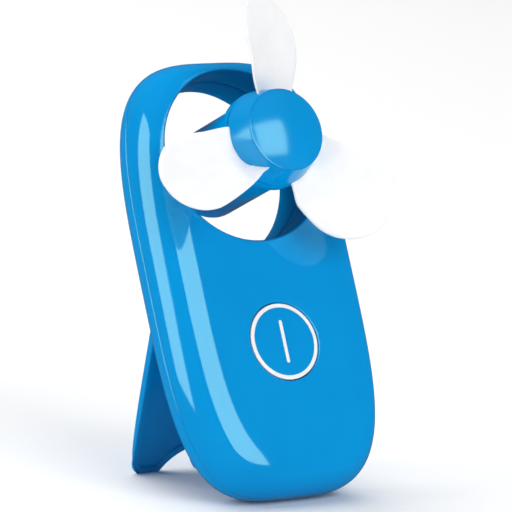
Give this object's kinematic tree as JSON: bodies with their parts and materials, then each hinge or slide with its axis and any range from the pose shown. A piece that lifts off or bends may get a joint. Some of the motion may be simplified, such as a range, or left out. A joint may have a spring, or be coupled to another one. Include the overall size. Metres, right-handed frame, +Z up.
{
  "type": "handheld electric fan",
  "caption": "Pocket battery fan: flat squircle body with a round window, front motor pod with soft blades, round power button and a fold-out rear stand.",
  "frame": {"origin": "on the standing surface, under the centre of the part's bounding box", "axes": "+Z up from the standing surface, -Y towards the fan's front, +X to the right seen from the front; the body leans back towards +Y on its stand"},
  "size_m": [0.0638, 0.061, 0.1194],
  "materials": {
    "shell_blue": "glossy injection-moulded plastic",
    "stand_blue": "glossy injection-moulded plastic",
    "fan_blue": "glossy injection-moulded plastic",
    "blade_white": "soft satin foam plastic",
    "mark_white": "satin plastic",
    "dark_plastic": "satin plastic",
    "board_green": "solder-masked laminate",
    "bare_steel": "plated",
    "bronze": "sintered",
    "winding_copper": "enamelled",
    "cell_sleeve": "shrink sleeve",
    "magnet": "sintered",
    "red_insulation": "soft",
    "black_insulation": "soft",
    "white_insulation": "soft"
  },
  "bodies": {
    "body": {"front_shell": "shell_blue", "rear_shell": "shell_blue", "case_screws": "bare_steel", "switch_body": "dark_plastic", "switch_pins": "bare_steel", "circuit_board": "board_green", "board_screws": "bare_steel", "battery_1": "cell_sleeve", "battery_2": "cell_sleeve", "bridge_contact": "bare_steel", "positive_contact": "bare_steel", "negative_contact": "bare_steel", "bottom_spring": "bare_steel", "top_spring": "bare_steel", "motor_pod": "shell_blue", "pod_front_cap": "shell_blue", "motor_can": "bare_steel", "motor_end_bell": "dark_plastic", "front_bushing": "bronze", "rear_bushing": "bronze", "motor_magnets": "magnet", "motor_brushes": "winding_copper", "red_wire": "red_insulation", "black_wire": "black_insulation", "motor_wire": "white_insulation"},
    "rotor": {"motor_shaft": "bare_steel", "armature_core": "bare_steel", "armature_windings": "winding_copper", "commutator": "winding_copper", "fan_hub": "fan_blue", "spinner_cap": "fan_blue", "blade_1": "blade_white", "blade_2": "blade_white", "blade_3": "blade_white"},
    "button": {"power_button": "shell_blue", "button_ring": "mark_white", "button_mark": "mark_white", "switch_plunger": "mark_white"},
    "door": {"battery_door": "shell_blue", "stand_pin": "bare_steel"},
    "stand": {"kickstand": "stand_blue"}
  },
  "joints": [
    {"name": "fan_spin", "type": "hinge", "parent": "body", "child": "rotor", "pos_m": [0.00208, -0.00507, 0.08539], "axis": [0, -0.8965, 0.4431], "continuous": true},
    {"name": "button_press", "type": "slide", "parent": "body", "child": "button", "axis": [0, 0.8965, -0.4431], "range_m": [0, 0.0012], "stiffness_N_per_m": 800, "springref_m": -0.0006},
    {"name": "door_lift", "type": "slide", "parent": "body", "child": "door", "axis": [0, 0.8965, -0.4431], "range_m": [0, 0.01]},
    {"name": "stand_fold", "type": "hinge", "parent": "door", "child": "stand", "pos_m": [0.00208, 0.00731, 0.04714], "axis": [-1, 0, 0], "range_deg": [0, 38.3]}
  ]
}
